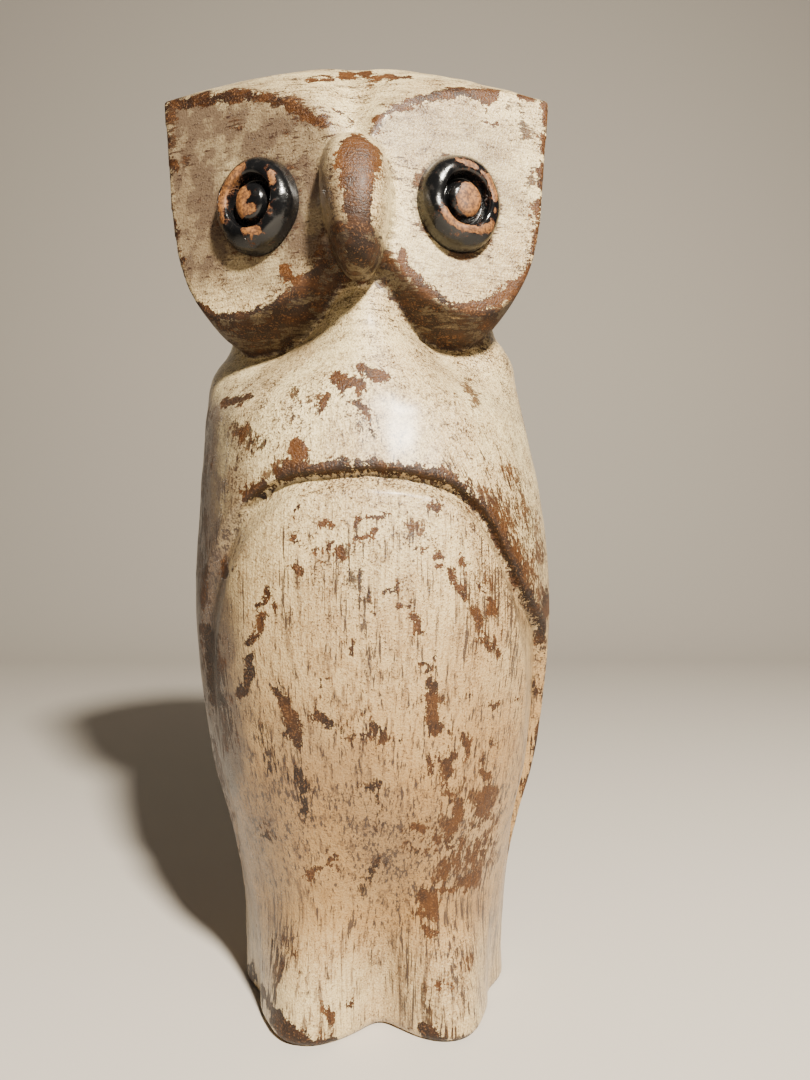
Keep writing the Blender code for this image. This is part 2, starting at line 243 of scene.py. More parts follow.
def curve(points, places):
    """Values on a smooth curve through (place, value) points."""
    spots, values = (np.array(column, float) for column in zip(*points))
    last = len(spots) - 1
    before = np.maximum(np.arange(last + 1) - 1, 0)
    after = np.minimum(np.arange(last + 1) + 1, last)
    slopes = (values[after] - values[before]) / (spots[after] - spots[before])
    places = np.clip(places, spots[0], spots[-1])
    index = np.clip(np.searchsorted(spots, places, side="right") - 1, 0, last - 1)
    span = spots[index + 1] - spots[index]
    t = (places - spots[index]) / span
    return ((1 + 2 * t) * (1 - t) ** 2 * values[index] + t * (1 - t) ** 2 * span * slopes[index]
            + t * t * (3 - 2 * t) * values[index + 1] + t * t * (t - 1) * span * slopes[index + 1])


def waves(places, length, seed, count=14):
    """Gentle lumps of about a wavelength, mostly between -1 and 1, at an array of points."""
    dice = np.random.default_rng(seed)
    total = np.zeros(len(places))
    for _ in range(count):
        way = dice.normal(size=places.shape[1])
        way *= 2 * np.pi / (length * dice.uniform(0.7, 1.5) * np.linalg.norm(way))
        total += np.sin(places @ way + dice.uniform(0, 6.3))
    return total / (count / 2) ** 0.5 / 1.5


def nearest_on_line(places, line):
    """Distance of flat points from a line of points, how far along it the nearest spot is, and the
    side of the line they are on: 1 to its right."""
    best = np.full(len(places), 1e9)
    along = np.zeros(len(places))
    side = np.ones(len(places))
    for index in range(len(line) - 1):
        start, run = line[index], line[index + 1] - line[index]
        share = np.clip((places - start) @ run / max(run @ run, 1e-12), 0, 1)
        away = places - start - share[:, None] * run
        far = np.hypot(away[:, 0], away[:, 1])
        closer = far < best
        best = np.where(closer, far, best)
        along = np.where(closer, index + share, along)
        turn = run[0] * away[:, 1] - run[1] * away[:, 0]
        side = np.where(closer, np.where(turn > 0, -1.0, 1.0), side)
    return best, along, side


# The carved log

class Cove:
    """A cove between an edge and a panel, from the tables of its left and right halves. How far each
    spot lies inside the edge and outside the panel is kept on a grid of angle and height."""

    # How wide a degree is, the grid's reach to each side and its steps, the wall's width, and the angle
    # over which it softens.
    degree_width = 0.314
    grid_reach = 100
    angle_step = 0.8
    level_step = 0.25
    wall_width = 0.42
    soft_span = 25

    def __init__(self, middle, left, right, depth, low, high, soft_below=-999):
        shares = np.linspace(0, 1, 70)
        halves = []
        for table in (left, right):
            columns = [curve(list(enumerate(column)), shares * (len(table) - 1)) for column in zip(*table)]
            halves.append(np.stack(columns, axis=1))
        run = np.concatenate([halves[0][::-1], halves[1][1:]])
        way = np.abs(np.concatenate([-shares[::-1], shares[1:]]))
        edge = run[:, 0:2] * (self.degree_width, 1)
        panel = run[:, 2:4] * (self.degree_width, 1)
        self.low, self.high = low, high
        self.angles = np.arange(middle - self.grid_reach, middle + self.grid_reach, self.angle_step)
        self.levels = np.arange(low, high, self.level_step)
        grid = np.meshgrid(self.angles * self.degree_width, self.levels, indexing="ij")
        grid = np.stack(grid, axis=-1).reshape(-1, 2)
        from_edge, along, edge_side = nearest_on_line(grid, edge)
        from_panel, _, panel_side = nearest_on_line(grid, panel)
        stops = np.arange(len(way))
        place = np.interp(along, stops, way)
        deep = cove_tip_depth + (depth - cove_tip_depth) * np.cos(place ** 3 * np.pi / 2)
        soft = np.clip((soft_below - np.interp(along, stops, run[:, 0])) / self.soft_span, 0, 1)
        shape = (len(self.angles), len(self.levels))
        self.inside = (from_edge * edge_side).reshape(shape)
        self.outside = (-from_panel * panel_side).reshape(shape)
        self.deep = deep.reshape(shape)
        self.soft = soft.reshape(shape)

    def past_start(self, angle):
        """How far angles lie past the grid's first one, less than nought if up to 100 before it."""
        return (angle - self.angles[0] + 100) % 360 - 100

    def read(self, angle, level, *tables):
        """Values of tables at angles and heights."""
        column = np.clip(self.past_start(angle) / self.angle_step, 0, len(self.angles) - 1.001)
        row = np.clip((level - self.low) / self.level_step, 0, len(self.levels) - 1.001)
        left, below = column.astype(int), row.astype(int)
        a, b = column - left, row - below
        return [(1 - a) * (1 - b) * table[left, below] + a * (1 - b) * table[left + 1, below]
                + (1 - a) * b * table[left, below + 1] + a * b * table[left + 1, below + 1]
                for table in tables]

    def carved(self, angle, level):
        """How deep the cove is at angles and heights: a steep wall under the edge, then a hollow that
        rises to the panel."""
        inside, outside, deep, soft = self.read(angle, level, self.inside, self.outside, self.deep, self.soft)
        width = np.maximum(inside, 0) + np.maximum(outside, 0)
        across = np.maximum(inside, 0) / np.maximum(width, 1e-6)
        wall = self.wall_width + soft * np.maximum(0.5 * width - self.wall_width, 0)
        reach = (self.past_start(angle) > 0) & (level > self.low) & (level < self.high)
        return deep * ease((inside + 0.12) / wall) * (1 - across ** 1.5) * (outside > 0) * reach


def round_log(points):
    """Angle in degrees, height and distance from the log's own axis, in hundredths."""
    level = points[:, 2]
    side = points[:, 0] - curve(log_lean, level)
    return np.degrees(np.arctan2(side, -points[:, 1])), level, np.hypot(side, points[:, 1])


def log_surface(angle, level):
    """Radius of the log before its coves are carved."""
    place = level - shoulder_tilt * np.sin(np.radians(angle))
    throat = np.exp(-(angle / throat_half_angle) ** 2)
    neck = curve(neck_radius, place) * (1 - throat) + curve(throat_radius, place) * throat - neck_radius[0][1]
    radius = curve(log_radius, level) + np.where(place > neck_radius[0][0], neck, 0)
    radius = radius + curve(breast, level) * np.exp(-(angle / breast_half_angle) ** 4)
    for middle, half_angle, depth, start, full in throat_hollows:
        filling = ease((level - start) / (full - start))
        radius -= depth * np.exp(-((angle - middle) / half_angle) ** 2) * filling
    for middle, half_angle, depth, fade in foot_lobes:
        turn = (angle - middle + 180) % 360 - 180
        fading = np.cos(np.clip(level / fade, 0, 1) * np.pi / 2) ** 2
        radius += depth * np.exp(-(turn / half_angle) ** 2) * fading
    return radius


belly = Cove(0, cove_left, cove_right, cove_depth, 6, 60, soft_below=-28)
tail_other = [(360 - edge, high, 360 - under, low) for edge, high, under, low in tail_cove[::-1]]
tail = Cove(180, tail_cove[::-1], tail_other, tail_depth, 6, 40)


def carved_surface(angle, level, points):
    """Radius of the log with its coves, rounded foot and tool marks."""
    radius = log_surface(angle, level) - belly.carved(angle, level) - tail.carved(angle, level)
    # The foot's edge is rounder in front. The waves are shallow tool marks, drawn out upwards.
    front = np.exp(-(angle / 55) ** 4)
    foot = 0.45 + 0.75 * front
    drop = np.clip(foot - level, 0, foot)
    radius -= foot - np.sqrt(foot * foot - drop * drop)
    radius += 0.05 * waves(points * (1, 1, 0.45), 5.0, 3, 8) + 0.02 * waves(points * (1, 1, 0.6), 2.4, 4, 8)
    return radius


def body_field(points):
    """How far points lie outside the carved log and above its underside, in hundredths."""
    angle, level, reach = round_log(points)
    return np.maximum(reach - carved_surface(angle, level, points), -level)


# The owl's skin

class Skin:
    """Points and links of a fine mesh, worked on as arrays, in hundredths of the owl's height."""

    def __init__(self, mesh):
        self.mesh = mesh
        self.points = np.empty(len(mesh.vertices) * 3)
        mesh.vertices.foreach_get("co", self.points)
        self.points = self.points.reshape(-1, 3) / hundredth
        links = np.empty(len(mesh.edges) * 2, int)
        mesh.edges.foreach_get("vertices", links)
        self.start, self.end = links.reshape(-1, 2).T
        self.count = np.bincount(self.start, minlength=len(self.points)) + np.bincount(
            self.end, minlength=len(self.points))

    def around(self, values):
        """Mean of each point's neighbours."""
        if values.ndim == 1:
            total = np.bincount(self.start, values[self.end], len(values))
            total += np.bincount(self.end, values[self.start], len(values))
            return total / self.count
        return np.stack([self.around(column) for column in values.T], axis=1)

    def soften(self, rounds, share):
        """Draws points towards their neighbours, and back a little so that nothing shrinks."""
        for _ in range(rounds):
            for pull in (0.6, -0.62):
                self.points += (self.around(self.points) - self.points) * pull * share[:, None]

    def relax(self, share):
        """Draws points towards their neighbours once."""
        self.points += (self.around(self.points) - self.points) * share[:, None]

    def blur(self, values, rounds):
        """Spreads a painted value over its neighbours."""
        for _ in range(rounds):
            values = (values + self.around(values)) / 2
        return values

    def settle(self, field, share, rounds):
        """Moves the points that have a share onto the zero of a field, along its slope."""
        small = 0.02
        least_slope = 0.2
        longest = 0.35
        moved = np.flatnonzero(share > 0)
        points = self.points[moved]
        for _ in range(rounds):
            value = field(points)
            slope = np.stack([(field(points + small * step) - value) / small for step in np.eye(3)], axis=1)
            stride = -slope * (value / np.maximum((slope ** 2).sum(axis=1), least_slope))[:, None]
            length = np.maximum(np.linalg.norm(stride, axis=1), 1e-9)
            points += stride * (np.minimum(length, longest) / length * share[moved])[:, None]
        self.points[moved] = points

    def outward(self):
        """Unit normals at the points."""
        self.store()
        normals = np.empty(len(self.points) * 3)
        self.mesh.vertices.foreach_get("normal", normals)
        return normals.reshape(-1, 3)

    def store(self):
        """Writes the points back to the mesh."""
        self.mesh.vertices.foreach_set("co", (self.points * hundredth).ravel())
        self.mesh.update()


def keep(mesh, name, values):
    """Keeps a painted value on a mesh's points."""
    layer = mesh.attributes.new(name, "FLOAT", "POINT")
    layer.data.foreach_set("value", values.astype(np.float32))


def add(name, data):
    """A new object in the scene."""
    item = bpy.data.objects.new(name, data)
    bpy.context.scene.collection.objects.link(item)
    return item


def crisp_lines(shape):
    """Points along the carved edges of the head: ridges first, then hollows."""
    sharpest = math.radians(32)
    lowest = 62
    spacing = 0.25
    ridges, hollows = [], []
    for edge in shape.edges:
        if len(edge.link_faces) != 2 or edge.calc_face_angle(0) < sharpest:
            continue
        start, end = (corner.co / hundredth for corner in edge.verts)
        if max(start.z, end.z) < lowest:
            continue
        kind = ridges if edge.is_convex else hollows
        steps = max(1, int((end - start).length / spacing))
        kind.extend(start.lerp(end, step / steps) for step in range(steps + 1))
    return ridges, hollows


def distance_from(points, spots):
    """How far each point is from the nearest of some spots."""
    tree = kdtree.KDTree(len(spots))
    for index, spot in enumerate(spots):
        tree.insert(spot, index)
    tree.balance()
    return np.array([tree.find(point)[2] for point in points])


def fine_mesh(shape):
    """An even fine mesh over a shape."""
    mesh = bpy.data.meshes.new("owl_skin")
    shape.to_mesh(mesh)
    piece = add("owl_skin", mesh)
    remesh = piece.modifiers.new("Even mesh", "REMESH")
    remesh.mode = "VOXEL"
    remesh.voxel_size = skin_cell
    remesh.adaptivity = 0
    fine = bpy.data.meshes.new_from_object(piece.evaluated_get(bpy.context.evaluated_depsgraph_get()))
    bpy.data.objects.remove(piece)
    return fine


def knob_middle(side, level):
    """Middle of a knob's seat on its disc."""
    return head_lean + side, -face_front + face_slope * abs(side), level


def on_disc(points, side, level):
    """Points seen square to an eye disc: how far they lie from its knob's middle, in the knob's own radii,
    how far in front of the disc they are, and the disc's outward direction."""
    lean = math.copysign(1, side)
    root = math.hypot(1, face_slope)
    away = points - np.array(knob_middle(side, level))
    across = (away[:, 0] + lean * face_slope * away[:, 1]) / root
    out = (lean * face_slope * away[:, 0] - away[:, 1]) / root
    ring = np.hypot(across / (eye_width / hundredth / 2), away[:, 2] / (eye_height / hundredth / 2))
    return ring, out, (lean * face_slope / root, -1 / root, 0)


def seen_in_picture(points, normals):
    """How far across and down the photograph's picture points fall, wavering a little, and how far they
    face its camera."""
    place = points * hundredth
    depth = place[:, 1] - camera_place.y
    across = picture_middle[0] + picture_reach * (place[:, 0] - camera_place.x) / depth
    down = picture_middle[1] - picture_reach * (place[:, 2] - camera_place.z) / depth
    waver = 2.2
    across = across + waver * waves(points, 1.6, 11)
    down = down + waver * waves(points, 1.8, 12)
    to_camera = np.array(camera_place) / hundredth - points
    to_camera /= np.linalg.norm(to_camera, axis=1)[:, None]
    facing = ease(((normals * to_camera).sum(axis=1) + 0.02) / 0.12)
    return np.stack([across, down], axis=1), facing


# The wear on the front, as brush marks over the picture: a tone in hundredths, half the mark's width, and
# how far across and down each place is that it runs through. First where the paint is gone. The tone there
# is how light the wood is.
bare_marks = (
    # brows and ears
    (12, 6, 168, 105, 190, 103, 212, 99), (32, 5.5, 212, 99, 235, 96, 262, 97, 286, 104, 303, 113, 318, 123),
    (40, 2.5, 336, 112, 346, 116, 353, 124), (50, 3, 377, 121, 394, 109, 420, 97),
    (45, 3, 373, 121, 379, 131), (40, 4.5, 424, 98, 443, 93, 461, 92, 478, 93), (65, 5, 484, 93, 497, 94),
    (65, 3.5, 483, 99, 488, 109), (60, 3, 518, 96, 533, 97), (65, 3.5, 543, 104, 546, 122),
    (50, 2.5, 544, 137, 542, 148), (60, 2.5, 481, 125, 494, 125), (30, 2.5, 169, 163, 175, 166),
    (20, 1.2, 287, 131, 288, 138),
    # crown
    (60, 3, 310, 81, 331, 78), (60, 3.5, 340, 76, 362, 75, 375, 77), (50, 2, 385, 78, 410, 77),
    # discs' outer and lower edges
    (15, 1.6, 163, 104, 169, 175, 176, 244, 186, 276, 196, 301),
    (25, 3, 196, 301, 213, 315, 240, 317, 266, 308, 286, 297), (30, 6, 300, 288, 314, 277, 321, 262),
    (70, 3.5, 283, 270, 291, 278, 300, 281), (20, 5, 262, 328, 285, 316, 310, 306),
    (35, 1.4, 543, 150, 540, 200, 534, 245, 528, 270),
    (75, 5, 528, 271, 521, 281, 510, 291, 495, 301, 478, 306, 467, 307),
    (60, 3.5, 400, 253, 409, 270, 418, 280), (30, 3.5, 418, 281, 430, 293, 443, 301, 462, 308),
    (20, 2, 422, 303, 443, 312), (15, 2.5, 392, 290, 405, 301), (10, 3, 405, 311, 426, 326, 443, 335),
    (30, 3, 472, 314, 494, 314),
    # beak
    (62, 20, 355, 155, 359, 161), (55, 17.5, 357, 172, 357, 180), (42, 15.5, 357, 188, 357, 203),
    (30, 13, 359, 211, 359, 219), (15, 8.5, 355, 226, 355, 237), (10, 13, 358, 247, 359, 254),
    (75, 3, 377, 150, 381, 162),
    # chest
    (55, 7, 337, 378, 343, 387), (55, 5.5, 350, 381, 360, 384), (50, 4.5, 361, 368, 372, 374, 384, 377),
    (50, 2.5, 326, 396, 322, 408), (40, 3.5, 350, 401, 361, 409, 368, 411),
    (30, 4, 224, 403, 236, 400, 250, 396), (75, 8, 296, 448, 303, 452), (40, 3, 285, 462, 292, 466),
    (30, 1.5, 373, 430, 380, 435), (15, 3.5, 256, 494, 265, 496), (50, 5, 430, 470, 452, 480, 466, 497),
    (60, 4, 511, 548, 521, 560), (55, 3, 497, 540, 512, 562, 524, 583, 534, 606), (35, 4, 546, 590, 546, 615),
    (20, 4, 539, 617, 542, 636),
    # left flank
    (20, 2.5, 206, 566, 204, 589, 203, 619, 206, 633), (30, 4.5, 225, 568, 227, 574),
    (20, 6, 206, 628, 212, 650, 213, 680, 217, 705),
    # top of the belly
    (30, 1.8, 303, 500, 297, 507, 295, 513), (60, 3, 319, 526, 326, 522, 333, 527),
    (55, 3.5, 357, 522, 370, 520), (50, 2.5, 374, 518, 386, 515), (50, 3, 355, 540, 366, 534, 377, 529),
    (45, 2.8, 294, 535, 302, 545, 319, 552, 332, 543, 340, 543), (50, 3, 339, 549, 343, 560),
    (40, 3, 295, 568, 301, 571), (40, 3.5, 267, 589, 263, 602, 256, 608), (45, 4, 264, 618, 259, 628),
    (40, 2.5, 273, 605, 275, 610), (40, 3, 372, 606, 373, 613), (30, 3.5, 385, 595, 393, 588),
    (15, 2.5, 400, 605, 405, 609), (50, 4.5, 415, 618, 419, 622, 418, 632), (55, 4, 434, 507, 440, 512),
    (55, 3.5, 436, 553, 443, 556), (55, 2.5, 417, 548, 423, 551), (60, 4, 449, 572, 454, 582),
    (60, 3.5, 459, 588, 465, 600), (55, 2.5, 461, 559, 467, 566), (55, 2.5, 480, 584, 486, 592),
    (50, 4, 472, 608, 480, 622), (55, 3.5, 488, 598, 494, 612), (55, 3, 482, 632, 489, 648),
    (50, 2, 493, 640, 499, 656), (60, 2, 440, 566, 443, 570),
    # belly, left
    (30, 3, 263, 622, 256, 634, 248, 644), (15, 5, 249, 660, 251, 672, 247, 684, 240, 695),
    (5, 3, 276, 687, 280, 691), (15, 2.5, 277, 695, 284, 708), (30, 6, 290, 713, 295, 728, 297, 742),
    (30, 4, 322, 683, 322, 690), (25, 4, 316, 712, 323, 719, 331, 725), (5, 3, 341, 731, 345, 736),
    (25, 3, 354, 739, 361, 735, 367, 733), (25, 4.5, 374, 727, 381, 734, 385, 740),
    (40, 3.5, 355, 641, 351, 653), (25, 1.8, 368, 712, 368, 717), (25, 2, 397, 740, 399, 741),
    (20, 2.5, 266, 834, 271, 837), (75, 3.2, 308, 875, 320, 869, 331, 863, 333, 857),
    (20, 3, 362, 788, 375, 787, 384, 782),
    # belly, right
    (40, 2.2, 436, 651, 434, 658), (45, 3, 419, 664, 426, 663), (40, 2.5, 428, 671, 434, 668),
    (40, 6, 431, 682, 431, 700, 432, 720, 434, 730), (40, 3.5, 446, 730, 448, 732),
    (45, 3, 463, 738, 466, 746, 469, 755), (40, 2, 466, 696, 469, 694), (50, 2.2, 490, 706, 498, 704),
    (50, 2.5, 514, 701, 517, 699), (40, 2, 488, 718, 489, 722), (40, 3, 490, 740, 491, 744),
    (40, 2.5, 482, 758, 484, 762), (30, 3, 430, 758, 431, 772), (30, 2, 437, 755, 440, 762),
    (40, 4, 452, 754, 448, 765, 446, 778), (65, 4, 484, 775, 490, 775), (65, 8, 486, 791, 484, 802, 480, 812),
    (60, 2, 488, 817, 480, 824, 471, 832), (65, 6, 459, 806, 457, 816, 450, 828),
    (55, 2.5, 442, 792, 456, 795), (55, 4.5, 450, 836, 447, 848), (55, 5, 415, 827, 421, 828),
    (65, 4.5, 477, 875, 456, 887, 440, 891), (70, 8, 424, 896, 432, 903, 430, 911),
    (65, 5, 417, 912, 422, 916), (65, 3, 434, 917, 436, 922), (65, 4, 424, 930, 431, 935, 436, 932),
    (65, 3, 477, 838, 474, 866), (65, 3, 485, 832, 483, 858), (60, 2.5, 462, 840, 458, 866),
    (60, 2, 468, 846, 470, 872), (65, 3, 449, 860, 441, 880), (60, 2.5, 437, 836, 430, 850),
    (60, 3, 468, 876, 464, 892), (60, 2, 446, 786, 452, 800), (10, 3.5, 298, 772, 303, 792, 306, 812),
    (10, 3, 374, 782, 378, 800), (10, 2.5, 377, 860, 372, 878), (10, 2, 284, 700, 289, 720, 288, 735),
    # right wing's edge
    (30, 3.5, 537, 694, 545, 695), (20, 2.5, 532, 682, 535, 692), (35, 5, 540, 625, 540, 642),
    (35, 3.5, 538, 725, 536, 744, 531, 773, 525, 792),
    # feet
    (20, 8, 277, 1016, 290, 1036, 312, 1046, 332, 1046), (60, 3.5, 325, 1009, 329, 1014, 332, 1020),
    (50, 3.5, 348, 1002, 352, 1005), (25, 8, 422, 1030, 436, 1043, 460, 1046), (60, 3, 438, 984, 440, 986),
    (15, 4, 249, 967, 253, 978), (30, 5, 440, 1045, 465, 1047, 486, 1038),
    (20, 4, 262, 990, 270, 1008, 280, 1022),
)

# Where it is only rubbed thin, so that the grain shows through in streaks.
thin_marks = (
    (30, 5, 168, 108, 172, 125, 172, 145), (20, 1.5, 178, 135, 188, 167), (20, 1.2, 232, 125, 253, 123),
    (30, 8, 245, 335, 275, 335, 300, 322), (50, 4, 504, 99, 510, 108), (30, 3, 518, 110, 527, 138),
    (40, 4, 531, 169, 529, 192), (20, 8, 395, 295, 420, 318, 450, 335), (60, 4, 326, 392, 321, 410),
    (40, 2.5, 361, 428, 372, 434), (30, 2, 295, 385, 297, 430), (30, 2, 308, 390, 309, 425),
    (20, 9, 242, 430, 256, 445), (60, 7, 266, 476, 283, 468, 300, 463), (30, 4, 468, 384, 475, 403),
    (60, 9, 492, 500, 510, 540, 524, 575), (55, 6, 516, 480, 530, 520, 540, 560), (60, 7, 525, 580, 538, 612),
    (60, 5, 474, 486, 490, 508), (60, 4, 530, 560, 540, 600), (50, 5, 505, 470, 520, 500, 532, 540),
    (15, 9, 357, 575, 362, 602), (35, 5, 207, 410, 203, 470, 201, 540, 202, 600),
    (35, 6, 212, 740, 222, 800, 232, 850), (50, 4, 408, 523, 422, 527, 428, 537),
    (65, 3.5, 446, 570, 466, 598, 480, 628), (60, 2.5, 487, 580, 495, 605, 500, 635),
    (15, 5, 300, 765, 303, 790, 306, 815), (10, 4, 262, 728, 272, 765), (15, 2, 377, 800, 377, 832),
    (20, 1, 379, 850, 373, 864), (10, 0.5, 362, 878, 363, 897), (65, 5, 483, 835, 481, 860, 478, 885),
    (60, 7, 455, 860, 465, 880), (30, 1.2, 404, 846, 425, 855), (20, 4, 275, 940, 275, 970, 276, 1000),
    (20, 2.5, 424, 985, 427, 1010, 431, 1030), (60, 3, 468, 960, 471, 967),
    (40, 3, 446, 1037, 470, 1035, 482, 1027), (20, 1.0, 282, 941, 295, 957),
    (20, 1.0, 279, 962, 290, 970, 302, 974), (40, 4, 452, 770, 462, 785),
    (30, 9, 212, 640, 220, 700, 228, 740), (60, 4, 476, 792, 468, 840, 474, 870), (60, 3, 494, 790, 492, 860),
    (60, 3, 444, 800, 440, 850, 436, 880),
)

# Where the paint is darkened as a whole, and how far: mostly painted shade on the owl's shaded left side and
# low on the belly, with some darkening from smoke and handling.
shade_and_patina_marks = (
    (120, 44, 190, 125, 195, 190, 200, 250), (115, 42, 235, 125, 290, 140, 305, 230),
    (80, 24, 215, 270, 290, 270), (55, 34, 400, 125, 470, 140, 500, 200), (30, 30, 430, 270, 510, 260),
    (30, 12, 520, 120, 520, 240), (150, 24, 205, 420, 203, 520, 208, 600, 214, 680, 226, 780),
    (60, 14, 232, 800, 244, 880, 250, 960), (80, 20, 228, 430, 232, 540), (35, 14, 228, 372, 240, 345),
    (40, 30, 300, 740, 370, 800, 390, 860), (50, 26, 262, 790, 272, 920), (30, 20, 440, 820, 460, 900),
    (15, 18, 300, 600, 380, 600), (25, 12, 250, 520, 280, 495),
)

# Where dark wax and dust lie thicker (above nought) or thinner than elsewhere.
soil_marks = (
    (-130, 45, 440, 125, 480, 180, 470, 260), (-50, 25, 260, 130, 300, 170, 290, 250),
    (-110, 40, 400, 395, 445, 420, 480, 440), (-90, 20, 335, 440, 380, 450), (-60, 25, 300, 350, 330, 350),
    (-80, 18, 335, 500, 420, 500), (-80, 22, 440, 640, 480, 700, 490, 740), (-40, 30, 400, 700, 420, 780),
    (-70, 25, 300, 640, 330, 660), (-90, 14, 515, 440, 535, 520), (-50, 25, 320, 930, 400, 960),
    (-50, 40, 200, 140, 195, 220, 230, 270), (90, 20, 215, 440, 235, 500, 225, 560),
    (130, 9, 208, 580, 212, 640), (90, 16, 240, 440, 275, 430), (60, 14, 345, 400, 360, 415),
    (80, 16, 280, 580, 300, 560, 320, 565), (60, 16, 290, 540, 330, 560, 400, 540),
    (100, 16, 355, 570, 365, 620), (60, 18, 370, 640, 375, 700), (60, 14, 260, 700, 275, 760, 300, 810),
    (20, 4, 376, 780, 376, 830, 372, 900), (60, 14, 470, 830, 470, 900), (40, 8, 265, 900, 275, 960),
    (-80, 20, 325, 770, 330, 860, 320, 930), (-80, 14, 415, 760, 410, 860, 405, 920),
    (-100, 14, 400, 600, 402, 650), (70, 8, 505, 560, 515, 620, 520, 660), (50, 10, 470, 580, 490, 620),
    (40, 10, 310, 320, 340, 335),
)

# Bare wood on the knobs: half a mark's width, and how far across and up each place is that it runs through,
# in millimetres over the knob seen square on.
eye_wear = {
    "left_eye": (
        (1.9, -2.7, 11.7, -5.6, 9.4, -8.9, 6.6, -11, 3.3, -11.6, 0, -11.5, -1), (1.1, -11, -4.4, -10.8, -6),
        (1.4, 10, 7.6, 10.4, 6.1, 10.7, 4.4), (0.4, 7, 9.6, 7.3, 9.5), (0.35, 7.9, 8.6, 8.2, 8.5),
        (0.5, 9.4, -3.2, 9.4, -4.1), (1.5, -1.2, -10.4, 1.5, -11, 4.6, -11.3), (0.5, 5, -11.2, 6.6, -12.4),
        (0.6, 1.8, -12.2, 1.7, -13.6), (2.6, -2.6, 2.6, -3, -1, -2.4, -3.2), (1.9, -0.5, -3.5, 1.6, -3.2),
        (1.5, -1.2, 2.2, 0, 1.8),
    ),
    "right_eye": (
        (1.1, -4, 12.7, -1.8, 12.2, 1.2, 11.8, 3.5, 11), (0.6, 5.6, 9.7, 6.6, 9.2),
        (1.6, 8.6, 8.4, 10.2, 5.5, 11.2, 3.1, 11.1, 1.4), (0.6, 11.4, -2.8, 11.4, -3.6),
        (1.8, -9.2, -6.3, -7.3, -8.3, -3.8, -10.1), (1.4, -3.8, -10.1, 0, -11.1, 4.6, -10.9),
        (1.6, 6.2, -10.6, 9.2, -9.2, 10.4, -8.3), (5, 1.2, 0.4, 0.9, -1.2), (1.6, -3, -0.6, -2, -2.6),
        (1.4, -1.4, 4, 1.5, 4.6),
    ),
}

# The tone where there is no mark.
plain_tone = 0.35


def brush(places, marks, soft, crumbs=0.24):
    """How strongly a set of brush marks covers places in the picture, and their tone there. A mark's edge is
    soft by so much to each side, with crumbs of it further out."""
    cover = np.zeros(len(places))
    tones = np.full(len(places), plain_tone)
    for tone, half_width, *line in marks:
        line = np.array(line, float).reshape(-1, 2)
        low, high = line.min(axis=0) - half_width - 4 * soft, line.max(axis=0) + half_width + 4 * soft
        near = np.flatnonzero(((places > low) & (places < high)).all(axis=1))
        if len(near) == 0:
            continue
        far = nearest_on_line(places[near], line)[0]
        here = ease((half_width + soft - far) / (2 * soft))
        here = np.maximum(here, crumbs * ease((half_width + 4 * soft - far) / (3 * soft)))
        stronger = here > cover[near]
        cover[near] = np.where(stronger, here, cover[near])
        tones[near] = np.where(stronger, tone / 100, tones[near])
    return cover, tones


def make_owl():
    """The carved log and head as one fine skin, with its wear, grime and painted shade kept on its points."""
    shape = bmesh.new()
    shape.from_mesh(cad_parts["owl"].data)
    bmesh.ops.remove_doubles(shape, verts=shape.verts, dist=1e-6)
    ridges, hollows = crisp_lines(shape)
    skin = Skin(fine_mesh(shape))
    shape.free()

    # The head is smoothed away from its carved edges. The log settles on its own surface instead.
    from_ridge = distance_from(skin.points, ridges)
    from_hollow = distance_from(skin.points, hollows)
    crisp = np.minimum(from_ridge, from_hollow)
    on_body = 1 - ease((skin.points[:, 2] - head_start) / head_blend)
    skin.soften(3, np.ones(len(skin.points)))
    skin.soften(30, ease(crisp - 0.35) * (1 - on_body))
    skin.settle(body_field, on_body, 3)
    for _ in range(3):
        skin.relax(0.35 * on_body)
        skin.settle(body_field, on_body, 2)

    # Flat seats for the knobs, and nothing past the solid's own box.
    for _, side, level in eyes:
        ring, out, way_out = on_disc(skin.points, side, level)
        seat = (ring < seat_edge) & (np.abs(out) < 1.2)
        skin.points[seat] -= np.outer(out[seat], way_out)
    skin.points = np.clip(skin.points, *(np.array(solid_box) / hundredth))

    paint_wear_and_shade(skin, from_ridge, from_hollow, on_body)
    skin.store()
    return skin.mesh


